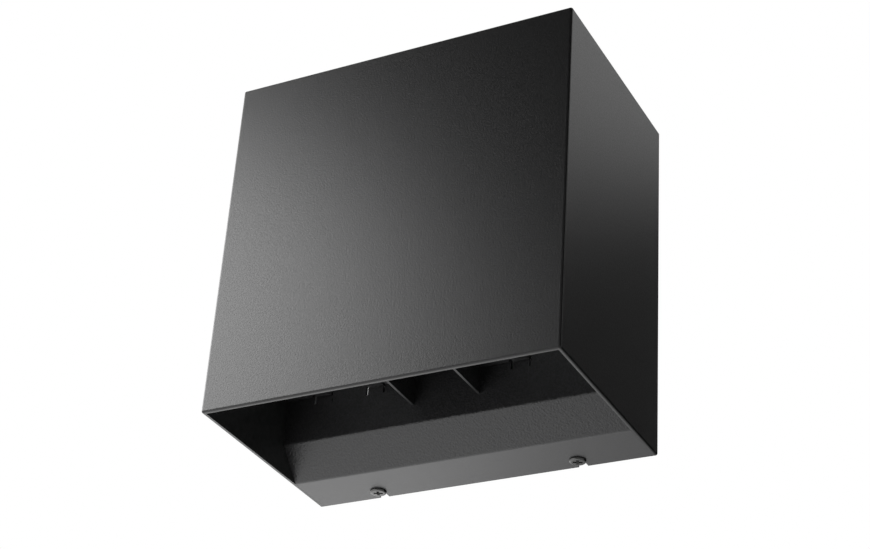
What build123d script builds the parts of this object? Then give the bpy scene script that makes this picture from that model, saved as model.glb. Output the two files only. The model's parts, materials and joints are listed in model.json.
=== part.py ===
from build123d import *
import math
import os

# Outdoor wall light: a square down-light box with two twist-lock reflector lamps.
# Millimetres. The wall is the plane y = 0, the room lies towards -Y and +Z is up.
# The origin is the middle of the wall bracket's fixing slots.

# Housing shell, cast in one piece, open below and behind
HEIGHT = 151.0
SHELL_WALL = 1.6
CORNER_RADIUS = 1.0
TOP_EDGE_RADIUS = 0.8
RIM_RADIUS = 0.8

# Gear tray, one bent sheet: bottom flange, sloped strip, upright wall, top flange
TRAY_SHEET = 1.2
TRAY_BEND = 0.4
TRAY_SIDE_GAP = 0.05
FLANGE_DEPTH = 23.5
SPLAY = 12.0
TRAY_TOP_DROP = 5.0
TRAY_TOP_REAR_GAP = 8.0

# Reflector lamp with two locking pins
LAMP_DIA = 50.0
LAMP_SIDE_GAP = 4.2
LAMP_REAR_GAP = 1.0
LAMP_FRONT_GAP = 4.4
LAMP_SETBACK = 3.5
BEZEL_HEIGHT = 5.0
REFLECTOR_LENGTH = 34.5
NECK_DIA = 26.0
BEZEL_WIDTH = 2.5
LENS_THICKNESS = 2.5
LENS_CROWN = 0.8
LENS_GAP = 0.1
LENS_RECESS = 1.2
BASE_HEIGHT = 12.0
BASE_LENGTH = 25.0
BASE_WIDTH = 18.0
BASE_RADIUS = 5.0
PIN_PITCH = 10.0
PIN_STEM_DIA = 2.9
PIN_STEM_LENGTH = 4.6
PIN_HEAD_DIA = 4.9
PIN_HEAD_LENGTH = 2.5

# Baffles: a plate round each lamp with its inner edge folded down as a rib
BAFFLE_SHEET = 1.0
BAFFLE_BEND = 0.4
BAFFLE_GAP = 0.3
RIB_X = 14.5
RIB_LIFT = 20.0
PLATE_LIFT = 31.5
APERTURE_GAP = 1.6
BAFFLE_TONGUE_WIDTH = 7.0
BAFFLE_TONGUE_OFFSET = 12.0
BAFFLE_TONGUE_PROUD = 1.0
TONGUE_SLOT_GAP = 0.2
NOTCH_WIDTH = 0.8
NOTCH_DROP = 3.0
RELIEF_WIDTH = 1.4
RELIEF_DEPTH = 1.5
BAFFLE_BOSS_DIA = 6.4
BAFFLE_BOSS_HEIGHT = 12.0
BAFFLE_BOSS_INSET = 3.6
BAFFLE_BOSS_CORNER = 5.0

# Ceramic lampholder
HOLDER_DIA = 28.0
HOLDER_HEIGHT = 17.0
HOLDER_CHAMFER = 1.0
HOLDER_GAP = 0.4
PIN_GAP = 0.25
PIN_HEAD_REST = 0.4
PIN_HEAD_ROOM = 1.0
TWIST_ANGLE = 40.0
HOLDER_SCREW_PITCH = 19.0
HOLDER_COUNTERBORE = 3.0

# Shelf that carries the lampholders
SHELF_SHEET = 1.2
SHELF_BEND = 0.6
SHELF_FLANGE = 12.0
SHELF_LIP = 8.0
SHELF_FRONT_GAP = 8.0
SHELF_SIDE_GAP = 1.0
SHELF_SCREW_INSET = 8.0
SHELF_LEAD_HOLE_DIA = 5.0

# Small machine screws of the inner pieces
M3_DIA = 3.0
M3_HEAD_DIA = 5.6
M3_HEAD_HEIGHT = 1.9
HOLE_GAP = 0.2
THREAD_GAP = 0.05
TIP_PROUD = 2.0
SCREW_BITE = 6.0

# Bosses on the shell's side walls that take the tray screws
TRAY_BOSS_DIA = 7.6
TRAY_BOSS_INSET = 4.2
TRAY_BOSS_LENGTH = 9.0
TRAY_BOSS_LOW = 47.0
TRAY_BOSS_HIGH = 24.0

# Wall bracket, bent sheet steel
BRACKET_SHEET = 2.0
BRACKET_BEND = 1.0
BRACKET_CORNER = 4.0
BRACKET_LIFT = 16.0
BRACKET_SIT = 4.0
LEG_WIDTH = 9.0
LEG_OFFSET = 6.0
LUG_MARGIN = 6.0
LUG_REACH = 13.0
LUG_BACK = 4.0
SLIDE_GAP = 0.1
HOOK_X = 34.0
HOOK_WIDTH = 14.0
HOOK_REACH = 14.0
FIXING_SPACING = 60.0
FIXING_SLOT_LENGTH = 12.0
FIXING_SLOT_WIDTH = 5.2
DISH_DEPTH = 3.2
DISH_SLOPE = 3.0

# Fixing screws that clamp the bottom flange to the bracket's lugs
FIXING_DIA = 3.5
FIXING_LENGTH = 9.0
FIXING_HEAD_DIA = 6.8
FIXING_HEAD_HEIGHT = 0.9
FIXING_HEAD_EDGE = 0.2
FIXING_WALL_OFFSET = 6.0
RECESS_LENGTH = 3.6
RECESS_WIDTH = 1.0
RECESS_DEPTH = 0.6
RECESS_TURN = 20.0
HEAD_GAP = 0.05
NUT_FLATS = 6.0
NUT_HEIGHT = 2.8

# Rubber grommets and the foam strip at the wall
CABLE_BORE_DIA = 8.4
CABLE_GROOVE_DIA = 16.0
CABLE_LIP_DIA = 21.0
CABLE_REAR_LIP = 1.5
CABLE_FRONT_LIP = 3.0
GROMMET_GAP = 0.05
LEAD_BORE_DIA = 6.8
LEAD_GROOVE_DIA = 9.2
LEAD_LIP_DIA = 11.2
LEAD_LIP = 1.2
LEAD_GROMMET_LIFT = 1.0
GASKET_WIDTH = 3.0
GASKET_DEPTH = 6.0
GASKET_FOOT_GAP = 0.3

# Terminal block, leads and earth
LEAD_DIA = 2.0
LEAD_SIDES = 8
LEAD_PITCH = 2.3
LEAD_SOCKET = 4.0
LEAD_EXIT_PITCH = 8.0
LEAD_GAP = 0.2
LEAD_NEAR_RUN = 13.0
LEAD_FAR_RUN = 18.0
LEAD_DROP = 7.0
LEAD_RISE_TURN = 5.5
LEAD_SWEEP_TURN = 9.0
LEAD_DROP_TURN = 5.0
LEAD_ENTRY_TURN = 9.0
EARTH_TURN = 6.0
EARTH_ENTRY_RUN = 5.0
POLE_PITCH = 10.0
POLE_COUNT = 3
BLOCK_MARGIN = 1.0
BLOCK_DEPTH = 16.0
BLOCK_HEIGHT = 20.0
BLOCK_DROP = 22.0
BLOCK_RADIUS = 1.0
BLOCK_GROOVE = 1.2
BLOCK_GROOVE_DEPTH = 5.0
BAR_SIZE = 5.0
BAR_GAP = 0.2
BAR_AXIS = 8.0
BAR_SETBACK = 3.0
CLAMP_DIA = 3.8
CLAMP_LENGTH = 3.4
CLAMP_SLOT = 0.9
CLAMP_PITCH = 9.0
EARTH_X = 32.0
EARTH_DROP = 12.0
EARTH_DIA = 4.0
EARTH_HEAD_DIA = 7.4
EARTH_HEAD_HEIGHT = 2.3
EARTH_TIP_PROUD = 3.0
RING_DIA = 8.0
RING_SHEET = 0.8
RING_BARREL_DIA = 3.4
RING_BARREL_LENGTH = 7.0

# Places that follow from the sizes above
LENS_DIA = LAMP_DIA - 2 * BEZEL_WIDTH
BOTTOM = -HEIGHT / 2
TOP = HEIGHT / 2
TRAY_FRONT = -(FLANGE_DEPTH + SPLAY)
TRAY_REAR = TRAY_FRONT + TRAY_SHEET
LAMP_X = RIB_X + BAFFLE_SHEET / 2 + LAMP_SIDE_GAP + LAMP_DIA / 2
LAMP_Y = TRAY_FRONT - LAMP_REAR_GAP - LAMP_DIA / 2
INNER_X = LAMP_X + LAMP_DIA / 2 + LAMP_SIDE_GAP
INNER_FRONT = LAMP_Y - LAMP_DIA / 2 - LAMP_FRONT_GAP
INNER_TOP = TOP - SHELL_WALL
WIDTH = 2 * (INNER_X + SHELL_WALL)
DEPTH = SHELL_WALL - INNER_FRONT
TRAY_TOP = TOP - TRAY_TOP_DROP
PLATE_Z = BOTTOM + PLATE_LIFT
PLATE_TOP = PLATE_Z + BAFFLE_SHEET
PLATE_REAR = TRAY_FRONT - BAFFLE_GAP
LAMP_FACE = PLATE_TOP + LAMP_SETBACK
BASE_Z = LAMP_FACE + REFLECTOR_LENGTH
PIN_Z = BASE_Z + BASE_HEIGHT
HOLDER_Z = PIN_Z + HOLDER_GAP
SHELF_Z = HOLDER_Z + HOLDER_HEIGHT
SHELF_TOP = SHELF_Z + SHELF_SHEET
SHELF_HALF = INNER_X - TRAY_BOSS_INSET - TRAY_BOSS_DIA / 2 - SHELF_SIDE_GAP
SHELF_FRONT = INNER_FRONT + SHELF_FRONT_GAP
SHELF_SCREW_X = SHELF_HALF - SHELF_SCREW_INSET
SHELF_SCREW_Z = SHELF_Z - SHELF_FLANGE / 2
LEAD_Z = SHELF_TOP + LEAD_GROMMET_LIFT + LEAD_LIP_DIA / 2
BLOCK_TOP = LEAD_Z - BLOCK_DROP
BLOCK_BOTTOM = BLOCK_TOP - BLOCK_HEIGHT
BLOCK_REAR = TRAY_REAR + BLOCK_DEPTH
BLOCK_MIDDLE = (BLOCK_TOP + BLOCK_BOTTOM) / 2
BAR_Y = TRAY_REAR + BAR_AXIS
EARTH_Z = BLOCK_BOTTOM - EARTH_DROP
FIXING_X = LAMP_X
FIXING_Y = -FIXING_WALL_OFFSET
LUG_Z = BOTTOM + TRAY_SHEET + SLIDE_GAP
LUG_TOP = LUG_Z + BRACKET_SHEET
HOOK_TOP = TRAY_TOP - TRAY_SHEET - SLIDE_GAP
BAFFLE_BOSS_OFFSET = LAMP_DIA / 2 + LAMP_SIDE_GAP - BAFFLE_BOSS_CORNER
BAFFLE_BOSS_X = (LAMP_X - BAFFLE_BOSS_OFFSET, LAMP_X + BAFFLE_BOSS_OFFSET)
BAFFLE_BOSS_Y = INNER_FRONT + BAFFLE_BOSS_INSET
TRAY_BOSS_X = INNER_X - TRAY_BOSS_INSET
TRAY_BOSS_Z = (BOTTOM + TRAY_BOSS_LOW, TOP - TRAY_BOSS_HIGH)
TONGUE_X = (LAMP_X - BAFFLE_TONGUE_OFFSET, LAMP_X + BAFFLE_TONGUE_OFFSET)
SIDES = (-1, 1)
CUT = 1.0


def block(x_low, x_high, y_low, y_high, z_low, z_high):
    """Box between two opposite corners."""
    centre = Pos((x_low + x_high) / 2, (y_low + y_high) / 2, (z_low + z_high) / 2)
    return centre * Box(x_high - x_low, y_high - y_low, z_high - z_low)


def rod_z(x, y, z_low, z_high, diameter):
    """Upright round bar."""
    return Pos(x, y, (z_low + z_high) / 2) * Cylinder(diameter / 2, z_high - z_low)


def rod_y(x, z, y_low, y_high, diameter):
    """Round bar square to the wall."""
    return Pos(x, (y_low + y_high) / 2, z) * Rot(90, 0, 0) * Cylinder(diameter / 2, y_high - y_low)


def folded_sheet(plane, points, radii, thickness, side, length):
    """Sheet folded along a path of points on the plane, run along the plane's normal."""
    path = Wire(FilletPolyline(*points, radius=radii).edges())
    section = make_face(path.offset_2d(thickness, side=side))
    return extrude(plane * section, length)


def turned(points):
    """Solid of revolution about Z from points of radius and height."""
    return revolve(Plane.XZ * make_face(Polyline(*points, close=True)), Axis.Z)


def grommet(bore, groove, lip, front_lip, sheet, rear_lip):
    """Rubber ring round the edge of a hole, its axis on Z with the groove from 0 to the sheet's thickness."""
    points = [
        (bore / 2, -rear_lip),
        (lip / 2, -rear_lip),
        (lip / 2, 0),
        (groove / 2, 0),
        (groove / 2, sheet),
        (lip / 2, sheet),
        ((lip + groove) / 4, sheet + front_lip),
        (bore / 2, sheet + front_lip),
    ]
    return turned(points)


def screw(diameter, length, head_diameter, head_height):
    """Screw along Z: shank from 0 up, and a round head below 0."""
    return rod_z(0, 0, -head_height, 0, head_diameter) + rod_z(0, 0, 0, length, diameter)


def inner_screw(length):
    """Small machine screw of the inner pieces."""
    return screw(M3_DIA, length, M3_HEAD_DIA, M3_HEAD_HEIGHT)


def towards_room(x, y, z, shape):
    """Place a shape modelled along +Z so that it points into the room."""
    return Pos(x, y, z) * Rot(90, 0, 0) * shape


def tube(points, radii, diameter):
    """Lead along straight runs joined by tangent arcs, drawn with flat sides."""
    route = FilletPolyline(*points, radius=radii)
    section = Plane(origin=route @ 0, z_dir=route % 0) * RegularPolygon(diameter / 2, LEAD_SIDES)
    return sweep(section, path=route)


def mirrored(shape):
    """The same piece on the other side of the light."""
    return mirror(shape, about=Plane.YZ)


def group(shapes):
    """Separate solids that share one name."""
    return Compound(children=[solid for shape in shapes for solid in shape.solids()])


def housing_shell():
    shell = block(-WIDTH / 2, WIDTH / 2, -DEPTH, 0, BOTTOM, TOP)
    front_corners = shell.edges().filter_by(Axis.Z).group_by(Axis.Y)[0]
    shell = fillet(front_corners, CORNER_RADIUS)
    top_edges = shell.faces().sort_by(Axis.Z)[-1].edges().sort_by(Axis.Y)[:-1]
    shell = fillet(top_edges, TOP_EDGE_RADIUS)
    rim = shell.faces().sort_by(Axis.Z)[0].edges().sort_by(Axis.Y)[:-1]
    shell = fillet(rim, RIM_RADIUS)
    shell -= block(-INNER_X, INNER_X, INNER_FRONT, CUT, BOTTOM - CUT, INNER_TOP)
    for side in SIDES:
        for x in BAFFLE_BOSS_X:
            shell += baffle_boss(side * x)
        for z in TRAY_BOSS_Z:
            shell += tray_boss(side, z)
    for side in SIDES:
        for x in BAFFLE_BOSS_X:
            hole_top = PLATE_TOP + SCREW_BITE + TIP_PROUD
            shell -= rod_z(side * x, BAFFLE_BOSS_Y, PLATE_TOP, hole_top, M3_DIA + 2 * THREAD_GAP)
        for z in TRAY_BOSS_Z:
            hole_end = TRAY_FRONT - SCREW_BITE - TIP_PROUD
            shell -= rod_y(side * TRAY_BOSS_X, z, hole_end, TRAY_FRONT, M3_DIA + 2 * THREAD_GAP)
    return shell


def baffle_boss(x):
    """Screw boss that grows out of the front wall above a baffle."""
    radius = BAFFLE_BOSS_DIA / 2
    boss_top = PLATE_TOP + BAFFLE_BOSS_HEIGHT
    boss = rod_z(x, BAFFLE_BOSS_Y, PLATE_TOP, boss_top, BAFFLE_BOSS_DIA)
    return boss + block(x - radius, x + radius, INNER_FRONT, BAFFLE_BOSS_Y, PLATE_TOP, boss_top)


def tray_boss(side, z):
    """Screw boss that grows out of a side wall in front of the tray."""
    radius = TRAY_BOSS_DIA / 2
    boss_front = TRAY_FRONT - TRAY_BOSS_LENGTH
    boss = rod_y(side * TRAY_BOSS_X, z, boss_front, TRAY_FRONT, TRAY_BOSS_DIA)
    near, far = sorted((side * TRAY_BOSS_X, side * INNER_X))
    return boss + block(near, far, boss_front, TRAY_FRONT, z - radius, z + radius)


def gear_tray():
    points = [
        (0, BOTTOM),
        (-FLANGE_DEPTH, BOTTOM),
        (TRAY_FRONT, BOTTOM + SPLAY),
        (TRAY_FRONT, TRAY_TOP),
        (-TRAY_TOP_REAR_GAP, TRAY_TOP),
    ]
    half = INNER_X - TRAY_SIDE_GAP
    start = Plane.YZ.offset(-half)
    tray = folded_sheet(start, points, TRAY_BEND + TRAY_SHEET, TRAY_SHEET, Side.RIGHT, 2 * half)
    slot = FIXING_DIA + 2 * HOLE_GAP
    for side in SIDES:
        x = side * FIXING_X
        tray -= rod_z(x, FIXING_Y, BOTTOM - CUT, LUG_Z, slot)
        tray -= block(x - slot / 2, x + slot / 2, FIXING_Y, CUT, BOTTOM - CUT, LUG_Z)
        for z in TRAY_BOSS_Z:
            tray -= tray_hole(side * TRAY_BOSS_X, z, M3_DIA + 2 * HOLE_GAP)
        tray -= tray_hole(side * SHELF_SCREW_X, SHELF_SCREW_Z, M3_DIA + 2 * HOLE_GAP)
        tray -= tray_hole(side * POLE_PITCH / 2, BLOCK_MIDDLE, M3_DIA + 2 * THREAD_GAP)
        for tongue_x in TONGUE_X:
            reach = BAFFLE_TONGUE_WIDTH / 2 + TONGUE_SLOT_GAP
            low = PLATE_Z - TONGUE_SLOT_GAP
            high = PLATE_TOP + TONGUE_SLOT_GAP
            centre = side * tongue_x
            tray -= block(centre - reach, centre + reach, TRAY_FRONT - CUT, TRAY_REAR + CUT, low, high)
            for end in SIDES:
                edge = centre + end * BAFFLE_TONGUE_WIDTH / 2
                near, far = sorted((edge, edge + end * NOTCH_WIDTH))
                foot = low - NOTCH_DROP
                tray -= block(near, far, TRAY_FRONT - CUT, TRAY_REAR + CUT, foot, high)
    tray -= tray_hole(0, LEAD_Z, LEAD_GROOVE_DIA + 2 * GROMMET_GAP)
    tray -= tray_hole(EARTH_X, EARTH_Z, EARTH_DIA + 2 * THREAD_GAP)
    return tray


def tray_hole(x, z, diameter):
    return rod_y(x, z, TRAY_FRONT - CUT, TRAY_REAR + CUT, diameter)


def right_baffle():
    rib_face = RIB_X - BAFFLE_SHEET / 2
    plate_end = INNER_X - BAFFLE_GAP
    points = [(rib_face, BOTTOM + RIB_LIFT), (rib_face, PLATE_TOP), (plate_end, PLATE_TOP)]
    start = Plane.XZ.offset(-PLATE_REAR)
    length = PLATE_REAR - INNER_FRONT - BAFFLE_GAP
    baffle = folded_sheet(start, points, BAFFLE_BEND + BAFFLE_SHEET, BAFFLE_SHEET, Side.RIGHT, length)
    low = PLATE_Z - CUT
    high = PLATE_TOP + CUT
    half = BAFFLE_TONGUE_WIDTH / 2
    tongue_end = TRAY_REAR + BAFFLE_TONGUE_PROUD
    for x in TONGUE_X:
        baffle += block(x - half, x + half, PLATE_REAR - CUT, tongue_end, PLATE_Z, PLATE_TOP)
        away = math.copysign(half, x - LAMP_X)
        near, far = sorted((x + away, x + away + math.copysign(RELIEF_WIDTH, away)))
        baffle -= block(near, far, PLATE_REAR - RELIEF_DEPTH, tongue_end, low, high)
    baffle -= rod_z(LAMP_X, LAMP_Y, low, high, LAMP_DIA + 2 * APERTURE_GAP)
    gate = BAFFLE_TONGUE_OFFSET - half
    baffle -= block(LAMP_X - gate, LAMP_X + gate, LAMP_Y, tongue_end, low, high)
    for x in BAFFLE_BOSS_X:
        baffle -= rod_z(x, BAFFLE_BOSS_Y, low, high, M3_DIA + 2 * HOLE_GAP)
    return baffle


def lamp_reflector():
    """Bell-shaped lamp body with a bezel, a curved flank and a neck."""
    radius = LAMP_DIA / 2
    shoulder = (radius - LENS_RECESS, BEZEL_HEIGHT)
    waist = (NECK_DIA / 2, REFLECTOR_LENGTH)
    flank = TangentArc(shoulder, waist, tangent=(0, 1))
    outline = Polyline((0, 0), (radius, 0), (radius, BEZEL_HEIGHT), shoulder)
    outline += flank
    outline += Polyline(waist, (0, REFLECTOR_LENGTH), (0, 0))
    body = revolve(Plane.XZ * make_face(outline.edges()), Axis.Z)
    body -= rod_z(0, 0, -CUT, LENS_RECESS + LENS_THICKNESS, LENS_DIA + 2 * LENS_GAP)
    return Pos(LAMP_X, LAMP_Y, LAMP_FACE) * body


def lamp_lens():
    """Round lens with a slightly crowned face."""
    radius = LENS_DIA / 2
    crown = LENS_RECESS - LENS_CROWN
    outline = Polyline((0, crown), (0, LENS_RECESS + LENS_THICKNESS), (radius, LENS_RECESS + LENS_THICKNESS))
    outline += Line((radius, LENS_RECESS + LENS_THICKNESS), (radius, LENS_RECESS))
    outline += TangentArc((0, crown), (radius, LENS_RECESS), tangent=(1, 0))
    lens = revolve(Plane.XZ * make_face(outline.edges()), Axis.Z)
    return Pos(LAMP_X, LAMP_Y, LAMP_FACE) * lens


def lamp_base():
    base = extrude(RectangleRounded(BASE_LENGTH, BASE_WIDTH, BASE_RADIUS), BASE_HEIGHT)
    return Pos(LAMP_X, LAMP_Y, BASE_Z) * base


def lamp_pins():
    """Two locking pins, each a stem with a wider head, on a line along X when locked."""
    stem_top = PIN_Z + PIN_STEM_LENGTH
    pins = []
    for side in SIDES:
        x = LAMP_X + side * PIN_PITCH / 2
        stem = rod_z(x, LAMP_Y, PIN_Z, stem_top, PIN_STEM_DIA)
        pins.append(stem + rod_z(x, LAMP_Y, stem_top, stem_top + PIN_HEAD_LENGTH, PIN_HEAD_DIA))
    return pins


def lampholder():
    """Ceramic holder with two curved keyhole slots, wide where the pin heads enter."""
    holder = rod_z(0, 0, 0, HOLDER_HEIGHT, HOLDER_DIA)
    holder = chamfer(holder.edges().sort_by(Axis.Z)[0], HOLDER_CHAMFER)
    floor = PIN_STEM_LENGTH - HOLDER_GAP - PIN_HEAD_REST
    cavity_top = PIN_STEM_LENGTH - HOLDER_GAP + PIN_HEAD_LENGTH + PIN_HEAD_ROOM
    stem_slot = PIN_STEM_DIA + 2 * PIN_GAP
    head_slot = PIN_HEAD_DIA + 2 * PIN_GAP
    for start in (-TWIST_ANGLE, 180 - TWIST_ANGLE):
        arc = CenterArc((0, 0), PIN_PITCH / 2, start, TWIST_ANGLE)
        holder -= Pos(0, 0, -CUT) * extrude(SlotArc(arc, stem_slot), floor + 2 * CUT)
        holder -= Pos(0, 0, floor) * extrude(SlotArc(arc, head_slot), cavity_top - floor)
        entry = arc @ 0
        holder -= rod_z(entry.X, entry.Y, -CUT, cavity_top, head_slot)
    for side in SIDES:
        y = side * HOLDER_SCREW_PITCH / 2
        holder -= rod_z(0, y, -CUT, HOLDER_HEIGHT + CUT, M3_DIA + 2 * HOLE_GAP)
        holder -= rod_z(0, y, -CUT, HOLDER_COUNTERBORE, M3_HEAD_DIA + 2 * HOLE_GAP)
        exit_y = side * LEAD_EXIT_PITCH / 2
        socket = LEAD_DIA + 2 * LEAD_GAP
        holder -= rod_z(0, exit_y, HOLDER_HEIGHT - LEAD_SOCKET, HOLDER_HEIGHT + CUT, socket)
    return holder


def lampholder_shelf():
    points = [
        (TRAY_FRONT, SHELF_Z - SHELF_FLANGE),
        (TRAY_FRONT, SHELF_TOP),
        (SHELF_FRONT, SHELF_TOP),
        (SHELF_FRONT, SHELF_TOP - SHELF_LIP),
    ]
    start = Plane.YZ.offset(-SHELF_HALF)
    shelf = folded_sheet(start, points, SHELF_BEND + SHELF_SHEET, SHELF_SHEET, Side.LEFT, 2 * SHELF_HALF)
    low = SHELF_Z - CUT
    high = SHELF_TOP + CUT
    for side in SIDES:
        x = side * LAMP_X
        for end in SIDES:
            screw_y = LAMP_Y + end * HOLDER_SCREW_PITCH / 2
            lead_y = LAMP_Y + end * LEAD_EXIT_PITCH / 2
            shelf -= rod_z(x, screw_y, low, high, M3_DIA + 2 * THREAD_GAP)
            shelf -= rod_z(x, lead_y, low, high, SHELF_LEAD_HOLE_DIA)
        flange_front = TRAY_FRONT - SHELF_SHEET
        thread = M3_DIA + 2 * THREAD_GAP
        shelf -= rod_y(side * SHELF_SCREW_X, SHELF_SCREW_Z, flange_front - CUT, TRAY_FRONT + CUT, thread)
    return shelf


def wall_bracket():
    half = FIXING_X + LUG_MARGIN
    low = BOTTOM + BRACKET_LIFT
    high = HOOK_TOP - BRACKET_SIT
    plate = RectangleRounded(2 * half, high - low, BRACKET_CORNER)
    bracket = extrude(Plane.XZ * Pos(0, (low + high) / 2) * plate, BRACKET_SHEET)
    bend = BRACKET_BEND + BRACKET_SHEET
    leg_path = [(0, low + BRACKET_CORNER), (0, LUG_Z), (-LUG_REACH, LUG_Z)]
    hook_path = [(0, high - BRACKET_CORNER), (0, HOOK_TOP), (-HOOK_REACH, HOOK_TOP)]
    leg_inner = FIXING_X - LEG_OFFSET - LEG_WIDTH
    leg_plane = Plane.YZ.offset(leg_inner)
    leg = folded_sheet(leg_plane, leg_path, bend, BRACKET_SHEET, Side.RIGHT, LEG_WIDTH)
    leg += block(leg_inner + LEG_WIDTH / 2, half, -LUG_REACH, -LUG_BACK, LUG_Z, LUG_TOP)
    leg -= rod_z(FIXING_X, FIXING_Y, LUG_Z - CUT, LUG_TOP + CUT, FIXING_DIA + 2 * HOLE_GAP)
    hook_plane = Plane.YZ.offset(HOOK_X - HOOK_WIDTH / 2)
    hook = folded_sheet(hook_plane, hook_path, bend, BRACKET_SHEET, Side.LEFT, HOOK_WIDTH)
    for piece in (leg, hook):
        bracket += piece
        bracket += mirrored(piece)
    for side in SIDES:
        slot = SlotOverall(FIXING_SLOT_LENGTH, FIXING_SLOT_WIDTH)
        place = Plane.XZ.offset(-CUT) * Pos(side * FIXING_SPACING / 2, 0)
        bracket -= extrude(place * slot, BRACKET_SHEET + 2 * CUT)
    return bracket - rod_y(0, 0, -BRACKET_SHEET - CUT, CUT, CABLE_LIP_DIA + 2 * DISH_SLOPE) + cable_dish()


def cable_dish():
    """Dish pressed forward round the cable hole, which leaves room for the grommet's rear lip."""
    hole = CABLE_GROOVE_DIA / 2 + GROMMET_GAP
    floor = CABLE_LIP_DIA / 2 + DISH_SLOPE / 2
    edge = CABLE_LIP_DIA / 2 + DISH_SLOPE + CUT
    points = [
        (hole, DISH_DEPTH),
        (floor, DISH_DEPTH),
        (edge - CUT, 0),
        (edge, 0),
        (edge, BRACKET_SHEET),
        (floor + DISH_SLOPE / 2, DISH_DEPTH + BRACKET_SHEET),
        (hole, DISH_DEPTH + BRACKET_SHEET),
    ]
    return Rot(90, 0, 0) * turned(points)


def weld_nuts():
    """Hexagon nuts on top of the lugs, bored to the fixing screws' running size."""
    nuts = []
    for side in SIDES:
        hexagon = RegularPolygon(NUT_FLATS / 2, 6, major_radius=False)
        hexagon -= Circle(FIXING_DIA / 2 + THREAD_GAP)
        nuts.append(Pos(side * FIXING_X, FIXING_Y, LUG_TOP) * extrude(hexagon, NUT_HEIGHT))
    return nuts


def fixing_screw(side):
    """Low-headed screw with a cross recess, its head under the bottom flange."""
    shape = screw(FIXING_DIA, FIXING_LENGTH, FIXING_HEAD_DIA, FIXING_HEAD_HEIGHT)
    shape = chamfer(shape.edges().sort_by(Axis.Z)[0], FIXING_HEAD_EDGE)
    arm_height = 2 * RECESS_DEPTH
    for turn in (RECESS_TURN, RECESS_TURN + 90):
        arm = Pos(0, 0, -FIXING_HEAD_HEIGHT) * Rot(0, 0, turn)
        shape -= arm * Box(RECESS_LENGTH, RECESS_WIDTH, arm_height)
    return Pos(side * FIXING_X, FIXING_Y, BOTTOM - HEAD_GAP) * shape


def cable_grommet():
    ring = grommet(
        CABLE_BORE_DIA, CABLE_GROOVE_DIA, CABLE_LIP_DIA, CABLE_FRONT_LIP, BRACKET_SHEET, CABLE_REAR_LIP
    )
    return towards_room(0, -DISH_DEPTH, 0, ring)


def lead_grommet():
    ring = grommet(LEAD_BORE_DIA, LEAD_GROOVE_DIA, LEAD_LIP_DIA, LEAD_LIP, TRAY_SHEET, LEAD_LIP)
    return towards_room(0, TRAY_REAR, LEAD_Z, ring)


def wall_gasket():
    """Foam strip on the shell's side and top walls, open below so that water drains."""
    foot = BOTTOM + TRAY_SHEET + GASKET_FOOT_GAP
    strip = block(-INNER_X, INNER_X, -GASKET_DEPTH, 0, foot, INNER_TOP)
    inner = INNER_X - GASKET_WIDTH
    return strip - block(-inner, inner, -GASKET_DEPTH - CUT, CUT, foot - CUT, INNER_TOP - GASKET_WIDTH)


def pole_places():
    middle = (POLE_COUNT - 1) / 2
    return [(index - middle) * POLE_PITCH for index in range(POLE_COUNT)]


def terminal_block():
    half = POLE_COUNT * POLE_PITCH / 2 + BLOCK_MARGIN
    body = block(-half, half, TRAY_REAR, BLOCK_REAR, BLOCK_BOTTOM, BLOCK_TOP)
    body = fillet(body.faces().sort_by(Axis.Y)[-1].edges(), BLOCK_RADIUS)
    cavity = BAR_SIZE / 2 + BAR_GAP
    for x in pole_places():
        low = BLOCK_BOTTOM - CUT
        high = BLOCK_TOP + CUT
        body -= block(x - cavity, x + cavity, BAR_Y - cavity, BAR_Y + cavity, low, high)
        for side in SIDES:
            z = BLOCK_MIDDLE + side * CLAMP_PITCH / 2
            body -= rod_y(x, z, BAR_Y, BLOCK_REAR + CUT, CLAMP_DIA + 2 * HOLE_GAP)
    head_seat = BLOCK_REAR - M3_HEAD_HEIGHT
    for side in SIDES:
        x = side * POLE_PITCH / 2
        groove = BLOCK_GROOVE / 2
        groove_end = BLOCK_REAR - BLOCK_GROOVE_DEPTH
        for z_low, z_high in groove_spans():
            body -= block(x - groove, x + groove, groove_end, BLOCK_REAR + CUT, z_low, z_high)
        body -= rod_y(x, BLOCK_MIDDLE, TRAY_REAR - CUT, BLOCK_REAR + CUT, M3_DIA + 2 * HOLE_GAP)
        body -= rod_y(x, BLOCK_MIDDLE, head_seat, BLOCK_REAR + CUT, M3_HEAD_DIA + 2 * HOLE_GAP)
    return body


def groove_spans():
    """Stretches of the grooves between the poles, above and below the fixing screws."""
    clear = M3_HEAD_DIA / 2 + HOLE_GAP + BLOCK_RADIUS
    below = (BLOCK_BOTTOM - CUT, BLOCK_MIDDLE - clear)
    above = (BLOCK_MIDDLE + clear, BLOCK_TOP + CUT)
    return [below, above]


def terminal_barrels():
    half = BAR_SIZE / 2
    low = BLOCK_BOTTOM + BAR_SETBACK
    high = BLOCK_TOP - BAR_SETBACK
    return [block(x - half, x + half, BAR_Y - half, BAR_Y + half, low, high) for x in pole_places()]


def terminal_screws():
    """Slotted clamping screws, two on each barrel."""
    seat = BAR_Y + BAR_SIZE / 2
    screws = []
    for x in pole_places():
        for side in SIDES:
            z = BLOCK_MIDDLE + side * CLAMP_PITCH / 2
            clamp = rod_y(x, z, seat, seat + CLAMP_LENGTH, CLAMP_DIA)
            slot = CLAMP_SLOT / 2
            end = seat + CLAMP_LENGTH
            clamp -= block(x - CLAMP_DIA, x + CLAMP_DIA, end - CLAMP_SLOT, end + CUT, z - slot, z + slot)
            screws.append(clamp)
    return screws


def terminal_fixing_screws():
    seat = BLOCK_REAR - M3_HEAD_HEIGHT
    shape = inner_screw(seat - TRAY_FRONT + TIP_PROUD)
    return [towards_room(side * POLE_PITCH / 2, seat, BLOCK_MIDDLE, shape) for side in SIDES]


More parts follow.
